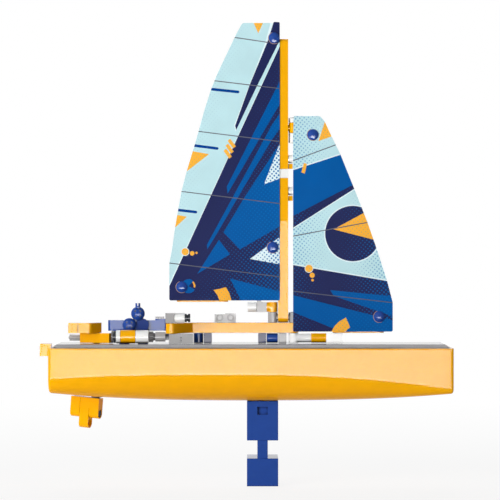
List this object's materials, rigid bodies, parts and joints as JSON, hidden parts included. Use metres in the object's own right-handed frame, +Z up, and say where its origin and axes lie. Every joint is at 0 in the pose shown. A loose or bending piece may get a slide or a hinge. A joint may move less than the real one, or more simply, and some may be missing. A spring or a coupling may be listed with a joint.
{
  "type": "model sailboat",
  "caption": "Model sailing yacht built from pin-and-beam pieces: boxy hull, finned keel, turning rudder with tiller, mast, and mainsail and jib on swinging booms.",
  "frame": {"origin": "middle of the keel's flat foot face, which the boat stands on", "axes": "+X to the bow, +Y to port, +Z up along the mast"},
  "size_m": [0.3175, 0.08, 0.3577],
  "materials": {
    "orange_plastic": "smooth moulded gloss",
    "blue_plastic": "smooth moulded gloss",
    "navy_plastic": "smooth moulded gloss",
    "deck_plastic": "satin moulded",
    "mid_grey_plastic": "satin moulded",
    "light_grey_plastic": "satin moulded",
    "dark_plastic": "satin moulded",
    "white_plastic": "smooth moulded gloss",
    "ballast_steel": "sawn bar",
    "main_film": "printed polyester film",
    "jib_film": "printed polyester film"
  },
  "bodies": {
    "root": {"hull_shell": "orange_plastic", "deck": "deck_plastic", "transom_block": "orange_plastic", "rudder_tube": "mid_grey_plastic", "keel_socket": "mid_grey_plastic", "keel_upper": "blue_plastic", "keel_stem": "blue_plastic", "keel_foot": "blue_plastic", "keel_ballast": "ballast_steel", "keel_dowels": "light_grey_plastic", "chassis_beam": "orange_plastic", "mast_lower": "orange_plastic", "mast_splice": "white_plastic", "mast_upper": "orange_plastic", "mast_connectors": "light_grey_plastic", "mast_stops": "white_plastic", "mast_clips": "orange_plastic", "fixed_axles": "dark_plastic", "jib_bracket": "orange_plastic", "luff_brackets": "light_grey_plastic", "luff_heads": "blue_plastic", "main_luff_strip": "main_film", "twin_hole_block": "light_grey_plastic", "arm_block": "mid_grey_plastic", "arm_tube": "white_plastic", "support_fore": "light_grey_plastic", "support_tubes": "blue_plastic", "support_blocks": "navy_plastic", "sheet_blocks": "mid_grey_plastic", "shaft_tube": "light_grey_plastic", "deck_beam": "blue_plastic", "deck_beam_cap": "light_grey_plastic", "fixed_roller": "blue_plastic"},
    "winch_shaft": {"shaft_bevel": "mid_grey_plastic", "shaft_spacers": "white_plastic", "shaft_drum": "orange_plastic", "shaft_axle": "dark_plastic"},
    "low_knob": {"knob_low": "blue_plastic"},
    "high_knob": {"knob_high": "blue_plastic"},
    "rudder": {"rudder_stock": "dark_plastic", "rudder_blades": "orange_plastic", "rudder_pin": "dark_plastic", "tiller": "orange_plastic", "tiller_axle": "light_grey_plastic", "tiller_block": "orange_plastic"},
    "main_boom": {"boom_hub": "orange_plastic", "boom_riser": "light_grey_plastic", "boom_bush": "white_plastic", "main_boom": "orange_plastic", "main_clew_block": "light_grey_plastic", "main_clew_head": "blue_plastic", "main_sail": "main_film"},
    "jib_boom": {"jib_hub": "white_plastic", "jib_coupler": "orange_plastic", "jib_riser": "white_plastic", "jib_boom": "orange_plastic", "jib_clew_block": "light_grey_plastic", "jib_head_arm": "white_plastic", "jib_heads": "blue_plastic", "jib_sail": "jib_film"}
  },
  "joints": [
    {"name": "main_boom_swing", "type": "hinge", "parent": "root", "child": "main_boom", "pos_m": [0.008, 0, 0.1372], "axis": [0, 0, 1], "range_deg": [-50, 50]},
    {"name": "jib_swing", "type": "hinge", "parent": "root", "child": "jib_boom", "pos_m": [0.024, 0, 0.1132], "axis": [0, 0, 1], "range_deg": [-40, 40]},
    {"name": "rudder_turn", "type": "hinge", "parent": "root", "child": "rudder", "pos_m": [-0.1286, 0, 0.09], "axis": [0, 0, 1], "range_deg": [-16, 54]},
    {"name": "low_knob_turn", "type": "hinge", "parent": "root", "child": "low_knob", "pos_m": [-0.1028, 0, 0.1236], "axis": [0, 1, 0], "continuous": true},
    {"name": "high_knob_turn", "type": "hinge", "parent": "root", "child": "high_knob", "pos_m": [-0.0962, 0, 0.1323], "axis": [0, 1, 0], "range_deg": [-90, 90]},
    {"name": "winch_turn", "type": "hinge", "parent": "root", "child": "winch_shaft", "pos_m": [-0.1034, -0.016, 0.1147], "axis": [1, 0, 0], "continuous": true}
  ]
}
